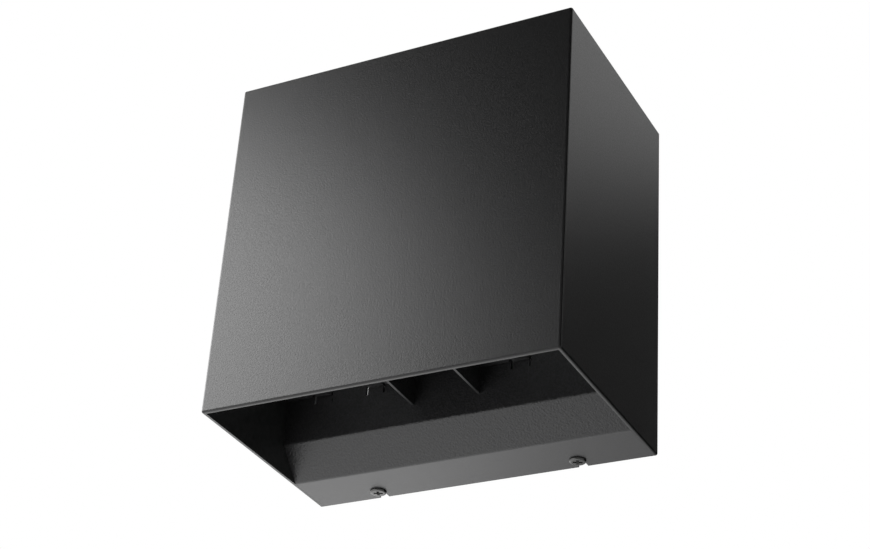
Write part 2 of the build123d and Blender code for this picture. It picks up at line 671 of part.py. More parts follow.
def tray_screws():
    shape = inner_screw(TRAY_SHEET + SCREW_BITE)
    places = [(side * TRAY_BOSS_X, z) for side in SIDES for z in TRAY_BOSS_Z]
    return [towards_room(x, TRAY_REAR, z, shape) for x, z in places]


def shelf_screws():
    shape = inner_screw(TRAY_SHEET + SHELF_SHEET + TIP_PROUD)
    return [towards_room(side * SHELF_SCREW_X, TRAY_REAR, SHELF_SCREW_Z, shape) for side in SIDES]


def baffle_screws():
    shape = inner_screw(BAFFLE_SHEET + SCREW_BITE)
    places = [side * x for side in SIDES for x in BAFFLE_BOSS_X]
    return [Pos(x, BAFFLE_BOSS_Y, PLATE_Z) * shape for x in places]


def holder_screws():
    seat = HOLDER_Z + HOLDER_COUNTERBORE
    shape = inner_screw(SHELF_TOP + TIP_PROUD - seat)
    offset = HOLDER_SCREW_PITCH / 2
    places = [(side * LAMP_X, LAMP_Y + end * offset) for side in SIDES for end in SIDES]
    return [Pos(x, y, seat) * shape for x, y in places]


def lamp_lead(lamp_side, pole_side):
    """Lead from a lampholder over the shelf, through the tray's grommet and down to its pole."""
    near = lamp_side == pole_side
    exit_y = LAMP_Y + (1 if near else -1) * LEAD_EXIT_PITCH / 2
    run_y = TRAY_FRONT - (LEAD_NEAR_RUN if near else LEAD_FAR_RUN)
    bore_x = pole_side * LEAD_PITCH / 2
    run_z = LEAD_Z + lamp_side * LEAD_PITCH / 2
    drop_y = BAR_Y + lamp_side * LEAD_PITCH / 2
    pole_x = pole_side * POLE_PITCH
    lamp_x = lamp_side * LAMP_X
    points = [
        (lamp_x, exit_y, SHELF_Z - LEAD_SOCKET),
        (lamp_x, exit_y, run_z),
        (bore_x, run_y, run_z),
        (bore_x, drop_y, run_z),
        (pole_x, drop_y, BLOCK_TOP + LEAD_DROP),
        (pole_x, drop_y, BLOCK_TOP - BAR_SETBACK),
    ]
    turns = [LEAD_RISE_TURN, LEAD_SWEEP_TURN, LEAD_DROP_TURN, LEAD_ENTRY_TURN]
    return tube(points, turns, LEAD_DIA)


def earth_ring():
    """Ring terminal with its crimp barrel, flat on the tray."""
    ring_front = TRAY_REAR + RING_SHEET
    ring = rod_y(EARTH_X, EARTH_Z, TRAY_REAR, ring_front, RING_DIA)
    barrel_end = EARTH_X - RING_DIA / 2
    barrel_start = barrel_end - RING_BARREL_LENGTH
    half = RING_BARREL_DIA / 2
    neck = block(barrel_start + half, EARTH_X, TRAY_REAR, ring_front, EARTH_Z - half, EARTH_Z + half)
    barrel = Cylinder(half, RING_BARREL_LENGTH)
    barrel_middle = Pos((barrel_start + barrel_end) / 2, TRAY_REAR + half, EARTH_Z)
    terminal = ring + neck + barrel_middle * Rot(0, 90, 0) * barrel
    return terminal - rod_y(EARTH_X, EARTH_Z, TRAY_REAR - CUT, ring_front + CUT, EARTH_DIA + 2 * HOLE_GAP)


def earth_lead():
    barrel_start = EARTH_X - RING_DIA / 2 - RING_BARREL_LENGTH
    barrel_y = TRAY_REAR + RING_BARREL_DIA / 2
    points = [
        (0, BAR_Y, BLOCK_BOTTOM + BAR_SETBACK),
        (0, BAR_Y, EARTH_Z),
        (barrel_start - EARTH_ENTRY_RUN, barrel_y, EARTH_Z),
        (barrel_start, barrel_y, EARTH_Z),
    ]
    return tube(points, EARTH_TURN, LEAD_DIA)


def earth_screw():
    length = RING_SHEET + TRAY_SHEET + EARTH_TIP_PROUD
    shape = screw(EARTH_DIA, length, EARTH_HEAD_DIA, EARTH_HEAD_HEIGHT)
    return towards_room(EARTH_X, TRAY_REAR + RING_SHEET, EARTH_Z, shape)


def lamp_nodes(name, side):
    """Pieces of one lamp, named for the side that it is on."""
    pieces = {
        "reflector": lamp_reflector(),
        "lens": lamp_lens(),
        "base": lamp_base(),
        "pins": group(lamp_pins()),
    }
    if side < 0:
        pieces = {piece: mirrored(shape) for piece, shape in pieces.items()}
    return {f"{name}_lamp_{piece}": shape for piece, shape in pieces.items()}


def all_nodes():
    nodes = {
        "housing_shell": housing_shell(),
        "gear_tray": gear_tray(),
        "right_baffle": right_baffle(),
        "left_baffle": mirrored(right_baffle()),
        "lampholder_shelf": lampholder_shelf(),
        "wall_bracket": wall_bracket(),
        "weld_nuts": group(weld_nuts()),
        "cable_grommet": cable_grommet(),
        "lead_grommet": lead_grommet(),
        "wall_gasket": wall_gasket(),
        "terminal_block": terminal_block(),
        "terminal_barrels": group(terminal_barrels()),
        "terminal_screws": group(terminal_screws()),
        "terminal_fixing_screws": group(terminal_fixing_screws()),
        "tray_screws": group(tray_screws()),
        "shelf_screws": group(shelf_screws()),
        "baffle_screws": group(baffle_screws()),
        "holder_screws": group(holder_screws()),
        "live_leads": group([lamp_lead(side, -1) for side in SIDES]),
        "neutral_leads": group([lamp_lead(side, 1) for side in SIDES]),
        "earth_ring": earth_ring(),
        "earth_lead": earth_lead(),
        "earth_screw": earth_screw(),
    }
    for name, side in (("left", -1), ("right", 1)):
        nodes[f"{name}_fixing_screw"] = fixing_screw(side)
        nodes[f"{name}_lampholder"] = Pos(side * LAMP_X, LAMP_Y, HOLDER_Z) * lampholder()
        nodes.update(lamp_nodes(name, side))
    return nodes


os.makedirs("parts", exist_ok=True)
for node_name, node_shape in all_nodes().items():
    export_step(node_shape, f"parts/{node_name}.step")
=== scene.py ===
import json
import math
from collections import namedtuple

import bmesh
import bpy
from mathutils import Matrix, Vector


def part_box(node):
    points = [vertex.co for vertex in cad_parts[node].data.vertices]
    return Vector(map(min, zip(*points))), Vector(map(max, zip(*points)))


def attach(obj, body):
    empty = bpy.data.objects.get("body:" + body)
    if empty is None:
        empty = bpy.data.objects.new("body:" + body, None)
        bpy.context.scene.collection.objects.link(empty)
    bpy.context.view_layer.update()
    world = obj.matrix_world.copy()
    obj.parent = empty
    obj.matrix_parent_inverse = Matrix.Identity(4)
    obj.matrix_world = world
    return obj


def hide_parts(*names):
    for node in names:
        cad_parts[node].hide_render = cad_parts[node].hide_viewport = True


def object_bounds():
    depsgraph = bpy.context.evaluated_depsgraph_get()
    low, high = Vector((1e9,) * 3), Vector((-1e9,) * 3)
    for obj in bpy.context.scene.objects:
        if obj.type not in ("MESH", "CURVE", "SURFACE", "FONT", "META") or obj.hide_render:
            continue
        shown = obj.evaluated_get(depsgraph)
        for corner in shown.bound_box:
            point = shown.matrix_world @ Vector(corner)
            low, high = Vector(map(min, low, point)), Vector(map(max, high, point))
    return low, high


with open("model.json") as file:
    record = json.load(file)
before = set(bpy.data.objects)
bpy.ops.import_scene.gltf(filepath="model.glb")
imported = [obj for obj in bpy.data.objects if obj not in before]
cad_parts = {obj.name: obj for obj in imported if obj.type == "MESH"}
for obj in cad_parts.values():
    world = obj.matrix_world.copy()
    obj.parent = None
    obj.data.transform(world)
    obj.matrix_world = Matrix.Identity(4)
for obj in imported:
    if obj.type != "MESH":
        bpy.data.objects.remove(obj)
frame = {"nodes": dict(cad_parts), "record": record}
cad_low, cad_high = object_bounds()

# Looks of a black box-shaped outdoor wall light. Metres, in the frame of the solids:
# the wall is the plane y = 0, the room lies towards -Y and +Z is up.

MILLIMETRE = 0.001
MIDDLE = (cad_low + cad_high) / 2
UP = Vector((0, 0, 1))
QUARTER_TURN = math.pi / 2

# Camera: below the light and to its right, azimuth and elevation as in the studio
IMAGE_WIDTH = 870
SENSOR_WIDTH = 36.0
CAMERA_PLACE = Vector((0.3278, -0.6440, -0.4067))
CAMERA_AZIMUTH = 28.95
CAMERA_ELEVATION = -30.54
CAMERA_ROLL = 4.12
FOCAL_PIXELS = 1970.2

# Studio: places are azimuth, elevation and distance from the middle of the light,
# with azimuth 0 straight out from the wall and 90 to the light's right
KEY_PLACE = (303, 18.6, 0.446)
KEY_SIZE = (0.464, 0.250)
KEY_RADIANCE = 7.1
FILL_PLACE = (269, -27.9, 0.304)
FILL_SIZE = (0.894, 0.841)
FILL_RADIANCE = 1.3
FRONT_CARD_PLACE = (355, 37, 0.50)
FRONT_CARD_SIZE = (0.45, 0.75)
SIDE_CARD_PLACE = (142, -2, 0.55)
SIDE_CARD_SIZE = (0.52, 0.83)
EDGE_CARD_PLACE = (63, 25, 0.50)
EDGE_CARD_SIZE = (0.50, 0.60)

# World: how bright it looks, and how bright it is as light on the object
BACKDROP = 1.0
AMBIENT = 0.15

# Floor: how bright it looks, how far below the light it lies, its width and the size of its mottle
FLOOR_GLOW = 0.45
FLOOR_DROP = 1.4
FLOOR_WIDTH = 60.0
FLOOR_MOTTLE = 0.3

# Colours in linear light
WHITE = (1, 1, 1, 1)
# Lighter shade of the shell's inner faces: painted light for the light that reaches them
INNER_PAINTED_LIGHT = (0.038, 0.039, 0.039)
ZINC = (0.40, 0.415, 0.44)
DARK_STEEL = (0.07, 0.07, 0.069)
NICKEL = (0.62, 0.60, 0.55)
BRASS = (0.70, 0.50, 0.20)
CERAMIC = (0.74, 0.71, 0.64)
LAMP_WHITE = (0.70, 0.70, 0.68)
LAMP_BASE = (0.62, 0.62, 0.60)
LENS_GREY = (0.46, 0.47, 0.48)
TERMINAL_WHITE = (0.66, 0.66, 0.61)
RUBBER = (0.018, 0.018, 0.019)
# Darker colour at the middle of each foam pore: painted shade in the hollow
FOAM_PORE_SHADE = (0.008, 0.008, 0.008)
FOAM_SKIN = (0.035, 0.035, 0.037)
BROWN = (0.13, 0.055, 0.022)
BLUE = (0.03, 0.09, 0.30)
GREEN = (0.05, 0.26, 0.05)
YELLOW = (0.62, 0.50, 0.03)
FLOOR_GREY = (0.86, 0.86, 0.86)
VELVET_BLACK = (0.004, 0.004, 0.004)

# Range in which most of a noise texture lies
NOISE_LOW = 0.3
NOISE_HIGH = 0.7

# Colour sockets of a mix node, which shares its socket names between kinds of values
MIX_FIRST = 6
MIX_SECOND = 7
MIX_RESULT = 2

# Powder coats: how light they are, the size of their pebbles, how deep these are on level and on
# other faces, and how dull and how shiny they are
PowderCoat = namedtuple("PowderCoat", "shade pebble level_depth upright_depth roughness shine")
SHELL_COAT = PowderCoat(
    shade=0.006,
    pebble=0.7 * MILLIMETRE,
    level_depth=0.03 * MILLIMETRE,
    upright_depth=0.045 * MILLIMETRE,
    roughness=0.35,
    shine=0.38,
)
TRAY_COAT = PowderCoat(
    shade=0.038,
    pebble=0.8 * MILLIMETRE,
    level_depth=0.02 * MILLIMETRE,
    upright_depth=0.19 * MILLIMETRE,
    roughness=0.36,
    shine=0.40,
)

# Blue as a share of the shade, how far the shade varies, and how much a face's normal points
# up or down where the face begins to count as level
COAT_BLUE = 1.03
COAT_SPREAD = 0.25
LEVEL_FROM = 0.75

# Painted light on the shell's inner faces, a lighter shade for the light that reaches them: size of its
# blotches, and how far it reaches into the walls
PAINTED_LIGHT_GRAIN = 2.0 * MILLIMETRE
WALL_SKIN = 0.6 * MILLIMETRE

# Angle from which an edge of an added piece is shown sharp
CREASE = math.radians(32)

# Screws: diameter of the thread, height of the head and radius of the head's crown
Screw = namedtuple("Screw", "thread head_height crown")
SMALL_SCREW = Screw(3.0 * MILLIMETRE, 1.9 * MILLIMETRE, 1.14 * MILLIMETRE)
EARTH_SCREW = Screw(4.0 * MILLIMETRE, 2.3 * MILLIMETRE, 1.38 * MILLIMETRE)
FIXING_SCREW = Screw(3.5 * MILLIMETRE, 0.9 * MILLIMETRE, 0.675 * MILLIMETRE)
TURN_STEPS = 48
CROWN_STEPS = 6

# Rim of a head: its radius as a share of the head's height
RIM_SHARE = 0.08
RIM_STEPS = 3

# Where a node's first screw has stopped turning, and how much further each next one, in radians
FIRST_TURN = 0.4
TURN_BETWEEN = 0.7

# Thread, with the places of its crest and its root as shares of the pitch
THREAD_PITCH = 0.6 * MILLIMETRE
THREAD_DEPTH = 0.25 * MILLIMETRE
THREAD_CREST = 0.35
THREAD_ROOT = 0.75

# Cross recess: length and width as shares of the head's width, depth as a share of the thread's
# diameter, and length and width of its foot as shares of those of its mouth
RECESS_LENGTH = 0.56
RECESS_WIDTH = 0.16
RECESS_DEPTH = 0.5
FOOT_LENGTH = 0.55
FOOT_WIDTH = 0.8

# Solids of a node: corners closer than this are the same, and places are sorted to these decimals
SAME_CORNER = 0.001 * MILLIMETRE
SORTED_DECIMALS = 5

# Lens of a lamp: small domes in a honeycomb on a share of its radius, with a plain ring round them
DOME_PITCH = 5.0 * MILLIMETRE
DOME_RISE = 0.5 * MILLIMETRE
DOME_FADE = 0.3 * DOME_PITCH
DOMED_SHARE = 0.93
CELL_CORNER = DOME_PITCH / math.sqrt(3)
LENS_CROWN = 0.8 * MILLIMETRE
LENS_BEVEL = 0.3 * MILLIMETRE
LENS_RINGS = 48
LENS_STEPS = 144

# Leads inside the light: their section, their spacing and the straight stretches of their routes
LEAD_RADIUS = 1.0 * MILLIMETRE
LEAD_PITCH = 2.3 * MILLIMETRE
LEAD_EXIT_PITCH = 8.0 * MILLIMETRE
LEAD_SOCKET = 4.0 * MILLIMETRE
LEAD_STRAIGHT = 4.0 * MILLIMETRE
LEAD_NEAR_RUN = 13.0 * MILLIMETRE
LEAD_FAR_RUN = 18.0 * MILLIMETRE
LEAD_DROP = 7.0 * MILLIMETRE
EARTH_ENTRY_RUN = 5.0 * MILLIMETRE
LEAD_ROUNDNESS = 4
LEAD_CURVE_ORDER = 3


class Nodes:
    """Short way to add nodes to the tree of a material or world."""

    def __init__(self, tree):
        self.tree = tree

    def plug(self, socket, value):
        """Link a socket to another node's output, or set it to a constant."""
        if isinstance(value, bpy.types.NodeSocket):
            self.tree.links.new(value, socket)
        else:
            socket.default_value = value

    def add(self, kind, inputs=None, **settings):
        node = self.tree.nodes.new(kind)
        for key, value in settings.items():
            setattr(node, key, value)
        for key, value in (inputs or {}).items():
            self.plug(node.inputs[key], value)
        return node

    def compute(self, operation, first, second=0.0):
        return self.add("ShaderNodeMath", {0: first, 1: second}, operation=operation).outputs["Value"]

    def span(self, value, low, high, from_low, from_high):
        """Map a value from one range to another."""
        inputs = {"Value": value, "From Min": from_low, "From Max": from_high}
        inputs.update({"To Min": low, "To Max": high})
        return self.add("ShaderNodeMapRange", inputs).outputs["Result"]

    def by_ray(self, seen, light):
        """One number for camera, glossy and transmission rays, another for light on the object."""
        rays = self.add("ShaderNodeLightPath").outputs
        direct = self.compute("MAXIMUM", rays["Is Camera Ray"], rays["Is Glossy Ray"])
        direct = self.compute("MAXIMUM", direct, rays["Is Transmission Ray"])
        return self.span(direct, light, seen, 0.0, 1.0)


class Shader(Nodes):
    """Material with one surface, textured by place on the object."""

    def __init__(self, name):
        self.material = bpy.data.materials.new(name)
        self.material.use_nodes = True
        super().__init__(self.material.node_tree)
        self.surface = self.tree.nodes["Principled BSDF"]
        coordinates = self.add("ShaderNodeTexCoord").outputs
        self.place = coordinates["Object"]
        self.normal = coordinates["Normal"]

    def set(self, **values):
        """Set inputs of the surface, with _ for the spaces in their names."""
        for key, value in values.items():
            self.plug(self.surface.inputs[key.replace("_", " ")], value)

    def noise(self, size, detail=2.0, stretch=None):
        """Noise with features of about the given size, drawn out along an axis by stretch."""
        place = self.place
        if stretch is not None:
            place = self.add("ShaderNodeMapping", {"Vector": place, "Scale": stretch}).outputs["Vector"]
        inputs = {"Vector": place, "Scale": 1 / size, "Detail": detail}
        return self.add("ShaderNodeTexNoise", inputs).outputs["Fac"]

    def cells(self, size, output="Distance"):
        """Cells of about the given size: the distance from their middles, or a colour for each."""
        inputs = {"Vector": self.place, "Scale": 1 / size}
        return self.add("ShaderNodeTexVoronoi", inputs).outputs[output]

    def ramp(self, value, start, end):
        """Blend between two colours, each given with the value at which it is full."""
        node = self.add("ShaderNodeValToRGB", {"Fac": value})
        for element, (position, colour) in zip(node.color_ramp.elements, (start, end)):
            element.position = position
            element.color = (*colour, 1.0)
        return node.outputs["Color"]

    def shades(self, value, colour, spread, low=NOISE_LOW, high=NOISE_HIGH):
        """A colour that goes darker and lighter by a share of itself."""
        dark = tuple(part * (1 - spread) for part in colour)
        light = tuple(part * (1 + spread) for part in colour)
        return self.ramp(value, (low, dark), (high, light))

    def vary(self, value, middle, spread):
        """A number that goes lower and higher with a noise."""
        return self.span(value, middle - spread, middle + spread, NOISE_LOW, NOISE_HIGH)

    def mix(self, share, first, second):
        """First colour where share is 0, second where it is 1."""
        inputs = {"Factor": share, MIX_FIRST: first, MIX_SECOND: second}
        return self.add("ShaderNodeMix", inputs, data_type="RGBA").outputs[MIX_RESULT]

    def parts(self, vector):
        """Outputs X, Y and Z of a vector."""
        return self.add("ShaderNodeSeparateXYZ", {"Vector": vector}).outputs

    def bump(self, height, distance):
        return self.add("ShaderNodeBump", {"Height": height, "Distance": distance}).outputs["Normal"]


def powder_coat(name, coat):
    """Black powder coat: a fine pebbled layer over metal, smoother on level faces than on the others.
    """
    shader = Shader(name)
    pebbles = shader.noise(coat.pebble)
    black = (coat.shade, coat.shade, COAT_BLUE * coat.shade)
    level = shader.compute("ABSOLUTE", shader.parts(shader.normal)["Z"])
    depth = shader.span(level, coat.upright_depth, coat.level_depth, LEVEL_FROM, 1.0)
    shader.set(Base_Color=shader.shades(pebbles, black, COAT_SPREAD))
    shader.set(Roughness=shader.vary(pebbles, coat.roughness, spread=0.05))
    shader.set(Specular_IOR_Level=coat.shine)
    shader.set(Normal=shader.bump(pebbles, depth))
    return shader


def shell_coat():
    """Powder coat of the shell, lighter on the faces inside: painted light for the light that reaches
    the inner walls.
    """
    shader = powder_coat("shell_coat", SHELL_COAT)
    gasket_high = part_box("wall_gasket")[1]
    baffle_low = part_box("left_baffle")[0]
    place = shader.parts(shader.place)
    off_middle = shader.compute("ABSOLUTE", place["X"])
    between_sides = shader.compute("LESS_THAN", off_middle, gasket_high.x + WALL_SKIN)
    behind_front = shader.compute("GREATER_THAN", place["Y"], baffle_low.y - WALL_SKIN)
    below_top = shader.compute("LESS_THAN", place["Z"], gasket_high.z + WALL_SKIN)
    inside = shader.compute("MULTIPLY", between_sides, behind_front)
    inside = shader.compute("MULTIPLY", inside, below_top)
    # Painted light: a lighter shade on the inner faces for the light that reaches them
    painted_light = shader.shades(shader.noise(PAINTED_LIGHT_GRAIN), INNER_PAINTED_LIGHT, COAT_SPREAD)
    sprayed = shader.surface.inputs["Base Color"].links[0].from_socket
    shader.set(Base_Color=shader.mix(inside, sprayed, painted_light))
    return shader


def plated_steel():
    """Zinc plate with a faint spangle and rolling lines."""
    shader = Shader("plated_steel")
    spangle = shader.cells(2.5 * MILLIMETRE, "Color")
    lines = shader.noise(0.5 * MILLIMETRE, stretch=(1.0, 1.0, 0.05))
    shader.set(Metallic=1.0)
    shader.set(Base_Color=shader.shades(spangle, ZINC, spread=0.06, low=0.1, high=0.9))
    shader.set(Roughness=shader.vary(lines, 0.49, spread=0.07))
    shader.set(Normal=shader.bump(lines, 0.006 * MILLIMETRE))
    return shader


def bare_metal(name, colour, roughness):
    """Turned metal with fine scratches."""
    shader = Shader(name)
    worn = shader.noise(0.7 * MILLIMETRE, detail=4.0)
    scratches = shader.noise(0.25 * MILLIMETRE, stretch=(1.0, 0.15, 1.0))
    shader.set(Metallic=1.0)
    shader.set(Base_Color=shader.shades(worn, colour, spread=0.15))
    shader.set(Roughness=shader.vary(worn, roughness, spread=0.07))
    shader.set(Normal=shader.bump(scratches, 0.004 * MILLIMETRE))
    return shader


def moulded(name, colour, roughness, spread=0.05, grain=1.2 * MILLIMETRE):
    """Moulded plastic, rubber or glazed ceramic with a faint texture."""
    shader = Shader(name)
    cloud = shader.noise(6 * grain, detail=3.0)
    texture = shader.noise(grain, detail=3.0)
    shader.set(Base_Color=shader.shades(cloud, colour, spread))
    shader.set(Roughness=shader.vary(texture, roughness, spread=0.06))
    shader.set(Normal=shader.bump(texture, 0.01 * MILLIMETRE))
    return shader


def closed_foam():
    """Cellular rubber strip with open pores, with painted shade in their hollows."""
    shader = Shader("closed_foam")
    pores = shader.cells(0.9 * MILLIMETRE)
    # Darker at the middle of each pore: painted shade in the pores
    shader.set(Base_Color=shader.ramp(pores, (0.15, FOAM_PORE_SHADE), (0.5, FOAM_SKIN)))
    shader.set(Roughness=0.9)
    shader.set(Normal=shader.bump(pores, 0.25 * MILLIMETRE))
    return shader


def frosted_lens():
    """Clear plastic with a light frost, over a dark lamp."""
    shader = Shader("frosted_lens")
    frost = shader.noise(0.6 * MILLIMETRE, detail=3.0)
    shader.set(Base_Color=shader.shades(frost, LENS_GREY, spread=0.04))
    shader.set(Roughness=shader.vary(frost, 0.22, spread=0.06))
    shader.set(Transmission_Weight=0.35, IOR=1.58)
    shader.set(Normal=shader.bump(frost, 0.004 * MILLIMETRE))
    return shader


def earth_sleeve():
    """Green insulation with a yellow stripe along each side of the lead."""
    shader = Shader("earth_sleeve")
    side = shader.compute("ABSOLUTE", shader.parts(shader.normal)["Y"])
    smear = shader.noise(1.5 * MILLIMETRE)
    shader.set(Base_Color=shader.ramp(side, (0.42, YELLOW), (0.46, GREEN)))
    shader.set(Roughness=shader.vary(smear, 0.40, spread=0.06))
    shader.set(Normal=shader.bump(smear, 0.01 * MILLIMETRE))
    return shader


# Materials by slot
LOOKS = {
    "black_cast": shell_coat(),
    "black_sheet": powder_coat("tray_coat", TRAY_COAT),
    "zinc_steel": plated_steel(),
    "stainless": bare_metal("screw_steel", DARK_STEEL, roughness=0.27),
    "rubber": moulded("rubber", RUBBER, roughness=0.62, spread=0.2),
    "foam": closed_foam(),
    "ceramic": moulded("ceramic", CERAMIC, roughness=0.40, grain=0.8 * MILLIMETRE),
    "lamp_white": moulded("lamp_white", LAMP_WHITE, roughness=0.36, spread=0.03),
    "lamp_lens": frosted_lens(),
    "lamp_base": moulded("lamp_base", LAMP_BASE, roughness=0.48, spread=0.04),
    "nickel": bare_metal("nickel", NICKEL, roughness=0.27),
    "brass": bare_metal("brass", BRASS, roughness=0.29),
    "terminal_white": moulded("terminal_plastic", TERMINAL_WHITE, roughness=0.46),
    "lead_brown": moulded("brown_sleeve", BROWN, roughness=0.40, spread=0.15),
    "lead_blue": moulded("blue_sleeve", BLUE, roughness=0.40, spread=0.15),
    "lead_green": earth_sleeve(),
}


def dress_nodes():
    """Give each CAD node the material of its slot."""
    for row in frame["record"]["subparts"]:
        for slot in frame["nodes"][row["node"]].material_slots:
            slot.material = LOOKS[row["material_slot"]].material


def link(name, data):
    thing = bpy.data.objects.new(name, data)
    bpy.context.scene.collection.objects.link(thing)
    return thing


def add_piece(name, mesh, node, body, slot):
    """Show a mesh in place of a CAD node."""
    mesh.shade_smooth()
    mesh.set_sharp_from_angle(angle=CREASE)
    mesh.materials.clear()
    mesh.materials.append(LOOKS[slot].material)
    piece = link(name, mesh)
    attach(piece, body)
    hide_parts(node)


def mesh_of(shape, name):
    """Turn a bmesh into a mesh with its faces outwards."""
    bmesh.ops.recalc_face_normals(shape, faces=shape.faces)
    mesh = bpy.data.meshes.new(name)
    shape.to_mesh(mesh)
    shape.free()
    return mesh


def arc(centre, radius, start, end, steps):
    """Points of a circular arc, angles in degrees."""
    angles = [math.radians(start + (end - start) * step / steps) for step in range(steps + 1)]
    return [(centre[0] + radius * math.cos(a), centre[1] + radius * math.sin(a)) for a in angles]


def turned(outline, steps):
    """Surface of revolution about Z, closed where the outline ends on the axis."""
    shape = bmesh.new()
    turns = [2 * math.pi * step / steps for step in range(steps)]
    rings = []
    for radius, height in outline:
        if radius == 0:
            corners = [(0, 0, height)]
        else:
            corners = [(radius * math.cos(turn), radius * math.sin(turn), height) for turn in turns]
        rings.append([shape.verts.new(corner) for corner in corners])
    for ring, other in zip(rings, rings[1:]):
        for step in range(steps):
            corners = [ring[step % len(ring)], ring[(step + 1) % len(ring)]]
            corners += [other[(step + 1) % len(other)], other[step % len(other)]]
            shape.faces.new(list(dict.fromkeys(corners)))
    return shape


def cross_corners(length, width, height, turn):
    """Twelve corners of a cross about Z."""
    corners = []
    for quarter in range(4):
        spin = Matrix.Rotation(turn + quarter * QUARTER_TURN, 3, "Z")
        for x, y in ((length, -width), (length, width), (width, width)):
            corners.append(spin @ Vector((x / 2, y / 2, height)))
    return corners


def add_recess(shape, length, width, height, depth, turn):
    """Close the open ring of a screw's head with a face that has a cross recess."""
    ring = [edge for edge in shape.edges if edge.is_boundary]
    mouth_corners = cross_corners(length, width, height, turn)
    foot_corners = cross_corners(FOOT_LENGTH * length, FOOT_WIDTH * width, height + depth, turn)
    mouth = [shape.verts.new(corner) for corner in mouth_corners]
    foot = [shape.verts.new(corner) for corner in foot_corners]
    shape.faces.new(foot)
    for index in range(len(mouth)):
        shape.faces.new([mouth[index - 1], mouth[index], foot[index], foot[index - 1]])
    lip = [shape.edges.get((mouth[index - 1], mouth[index])) for index in range(len(mouth))]
    bmesh.ops.triangle_fill(shape, use_beauty=True, edges=ring + lip, normal=-UP)


def screw_mesh(kind, head_width, length, turn):
    """Screw along Z with its head below 0, a cross recess and a cut thread."""
    radius, head = kind.thread / 2, head_width / 2
    core = radius - THREAD_DEPTH
    rim = RIM_SHARE * kind.head_height
    outline = arc((head - kind.crown, kind.crown - kind.head_height), kind.crown, -90, 0, CROWN_STEPS)
    outline += arc((head - rim, -rim), rim, 0, 90, RIM_STEPS)
    outline += [(radius, 0)]
    for index in range(int((length - radius) / THREAD_PITCH)):
        outline += [(radius, (index + THREAD_CREST) * THREAD_PITCH)]
        outline += [(core, (index + THREAD_ROOT) * THREAD_PITCH)]
    outline += [(core, length - THREAD_DEPTH), (core - THREAD_DEPTH, length), (0, length)]
    shape = turned(outline, TURN_STEPS)
    recess = (RECESS_LENGTH * head_width, RECESS_WIDTH * head_width)
    add_recess(shape, *recess, -kind.head_height, RECESS_DEPTH * kind.thread, turn)
    return mesh_of(shape, "screw")


def loose_boxes(node):
    """Lowest and highest corner of each separate solid of a node, in a fixed order."""
    shape = bmesh.new()
    shape.from_mesh(frame["nodes"][node].data)
    bmesh.ops.remove_doubles(shape, verts=shape.verts, dist=SAME_CORNER)
    shape.verts.ensure_lookup_table()
    seen, boxes = set(), []
    for start in shape.verts:
        if start.index in seen:
            continue
        seen.add(start.index)
        reached = [start]
        for vertex in reached:
            for edge in vertex.link_edges:
                other = edge.other_vert(vertex)
                if other.index not in seen:
                    seen.add(other.index)
                    reached.append(other)
        places = [vertex.co for vertex in reached]
        low = Vector(min(place[axis] for place in places) for axis in range(3))
        high = Vector(max(place[axis] for place in places) for axis in range(3))
        boxes.append((low, high))
    shape.free()
    return sorted(boxes, key=lambda box: tuple(round(part, SORTED_DECIMALS) for part in box[0]))


def add_screws(node, body, slot, kind, from_behind=False):
    """Detailed screws in place of a node's plain ones, driven in from below or from the wall's side."""
    shape = bmesh.new()
    for index, (low, high) in enumerate(loose_boxes(node)):
        middle = (low + high) / 2
        if from_behind:
            length = high.y - low.y - kind.head_height
            place = Matrix.Translation((middle.x, high.y - kind.head_height, middle.z))
            place @= Matrix.Rotation(QUARTER_TURN, 4, "X")
        else:
            length = high.z - low.z - kind.head_height
            place = Matrix.Translation((middle.x, middle.y, low.z + kind.head_height))
        screw = screw_mesh(kind, high.x - low.x, length, FIRST_TURN + TURN_BETWEEN * index)
        screw.transform(place)
        shape.from_mesh(screw)
        bpy.data.meshes.remove(screw)
    mesh = bpy.data.meshes.new(node)
    shape.to_mesh(mesh)
    shape.free()
    add_piece(f"{node}_cut", mesh, node, body, slot)


def dome_height(x, y):
    """Height of the honeycomb of domes, 0 at its corners and 1 on a dome's top."""
    row = DOME_PITCH * math.sqrt(3)
    reaches = []
    for offset in (0.0, 0.5):
        across = (x / DOME_PITCH + offset + 0.5) % 1.0 - 0.5
        along = (y / row + offset + 0.5) % 1.0 - 0.5
        reaches.append(math.hypot(across * DOME_PITCH, along * row))
    return max(0.0, 1.0 - (min(reaches) / CELL_CORNER) ** 2)


def lens_outline(radius, thickness):
    """Half section of a lens with its crowned face at z = 0 and a flat back."""
    face = radius - LENS_BEVEL
    shares = [ring / LENS_RINGS for ring in range(LENS_RINGS + 1)]
    outline = [(face * share, LENS_CROWN * share**2) for share in shares]
    return outline + [(radius, LENS_CROWN + LENS_BEVEL), (radius, thickness), (0, thickness)]


def lens_mesh(radius, thickness):
    """Lens with its face of small domes downwards."""
    shape = turned(lens_outline(radius, thickness), LENS_STEPS)
    edge = DOMED_SHARE * radius
    for vertex in shape.verts:
        reach = math.hypot(vertex.co.x, vertex.co.y)
        if vertex.co.z < thickness / 2 and reach < edge:
            fade = min(1.0, (edge - reach) / DOME_FADE)
            vertex.co.z += DOME_RISE * (1.0 - dome_height(vertex.co.x, vertex.co.y)) * fade
    return mesh_of(shape, "lens")


def add_lens(side):
    node = f"{side}_lamp_lens"
    low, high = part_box(node)
    middle = (low + high) / 2
    mesh = lens_mesh((high.x - low.x) / 2, high.z - low.z)
    mesh.transform(Matrix.Translation((middle.x, middle.y, low.z)))
    add_piece(f"{side}_lens_domes", mesh, node, f"{side}_lamp", "lamp_lens")


